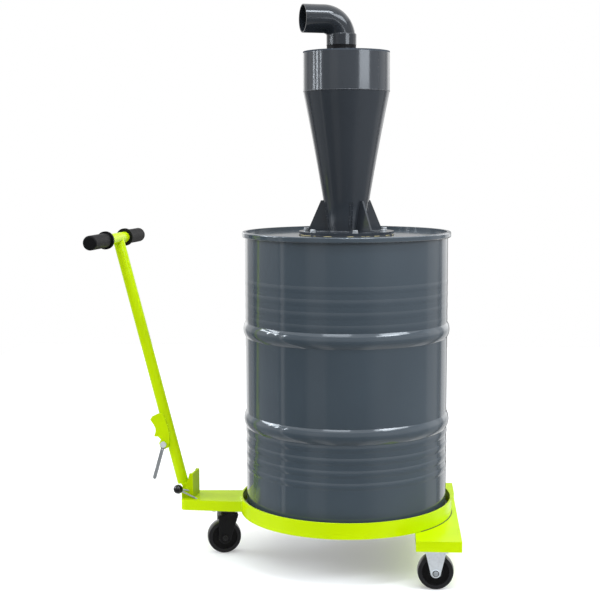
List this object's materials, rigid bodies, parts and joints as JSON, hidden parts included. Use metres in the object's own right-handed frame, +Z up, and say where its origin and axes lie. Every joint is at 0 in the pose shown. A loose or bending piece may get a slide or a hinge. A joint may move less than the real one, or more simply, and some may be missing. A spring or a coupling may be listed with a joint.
{
  "type": "mobile cyclone separator",
  "caption": "Dust cyclone with a pipe elbow, bolted to the lid of a steel drum that stands in a wheeled dolly with a folding drawbar.",
  "frame": {"origin": "on the ground, at the middle of the whole length and width", "axes": "+Z up, -X towards the drawbar's cross-bar, +Y away from the side that the picture shows"},
  "size_m": [1.0351, 0.618, 1.568],
  "materials": {
    "drum_paint": "gloss slate grey paint",
    "cyclone_paint": "satin anthracite powder coat",
    "lime_paint": "gloss lime green powder coat",
    "zinc": "bright zinc plate",
    "black_metal": "black paint",
    "wheel_plastic": "black polyamide",
    "knob_plastic": "black ball knob",
    "pipe_plastic": "dark grey pipe plastic",
    "black_rubber": "black rubber",
    "gasket_rubber": "pale gasket sheet"
  },
  "bodies": {
    "chassis": {"drum_shell": "drum_paint", "drum_top_head": "drum_paint", "drum_bottom_head": "drum_paint", "flange_gasket": "gasket_rubber", "cyclone_flange": "cyclone_paint", "cyclone_cone": "cyclone_paint", "cyclone_gussets": "cyclone_paint", "cyclone_barrel": "cyclone_paint", "inlet_pipe": "cyclone_paint", "cyclone_roof": "cyclone_paint", "outlet_tube": "cyclone_paint", "outlet_elbow": "pipe_plastic", "elbow_seal": "black_rubber", "dolly_ring": "lime_paint", "dolly_floor": "black_metal", "cross_beam": "lime_paint", "far_outrigger": "lime_paint", "dolly_tongue": "lime_paint", "near_axle": "zinc", "far_axle": "zinc", "near_fork": "zinc", "far_fork": "zinc", "far_packing": "lime_paint", "swivel_plate": "zinc", "kingpin": "zinc", "drawbar_bracket": "lime_paint", "pivot_bolt": "lime_paint", "lock_knob": "knob_plastic", "lock_prongs": "zinc"},
    "near_roller": {"near_wheel": "wheel_plastic"},
    "far_roller": {"far_wheel": "wheel_plastic"},
    "caster": {"swivel_fork": "black_metal", "swivel_axle": "black_metal"},
    "caster_roller": {"swivel_wheel": "wheel_plastic"},
    "drawbar": {"drawbar_eye": "lime_paint", "drawbar_tube": "lime_paint", "tee_bar": "lime_paint", "near_grip": "black_rubber", "far_grip": "black_rubber", "latch_plate": "lime_paint", "latch_pin": "zinc"},
    "lever": {"latch_lever": "zinc"}
  },
  "joints": [
    {"name": "near_wheel_spin", "type": "hinge", "parent": "chassis", "child": "near_roller", "pos_m": [0.44566, -0.2795, 0.049], "axis": [0, 1, 0], "continuous": true},
    {"name": "far_wheel_spin", "type": "hinge", "parent": "chassis", "child": "far_roller", "pos_m": [0.44566, 0.2795, 0.049], "axis": [0, 1, 0], "continuous": true},
    {"name": "caster_swivel", "type": "hinge", "parent": "chassis", "child": "caster", "pos_m": [-0.14534, 0, 0.12], "axis": [0, 0, 1], "continuous": true},
    {"name": "caster_wheel_spin", "type": "hinge", "parent": "caster", "child": "caster_roller", "pos_m": [-0.15989, -0.00363, 0.049], "axis": [-0.2419, 0.9703, 0], "continuous": true},
    {"name": "drawbar_pivot", "type": "hinge", "parent": "chassis", "child": "drawbar", "pos_m": [-0.26034, 0, 0.191], "axis": [-0.1478, -0.989, 0], "range_deg": [0, 60]},
    {"name": "latch_lever_swing", "type": "hinge", "parent": "drawbar", "child": "lever", "pos_m": [-0.33292, -0.00806, 0.3198], "axis": [0.1478, 0.989, 0], "range_deg": [-20, 60]}
  ]
}
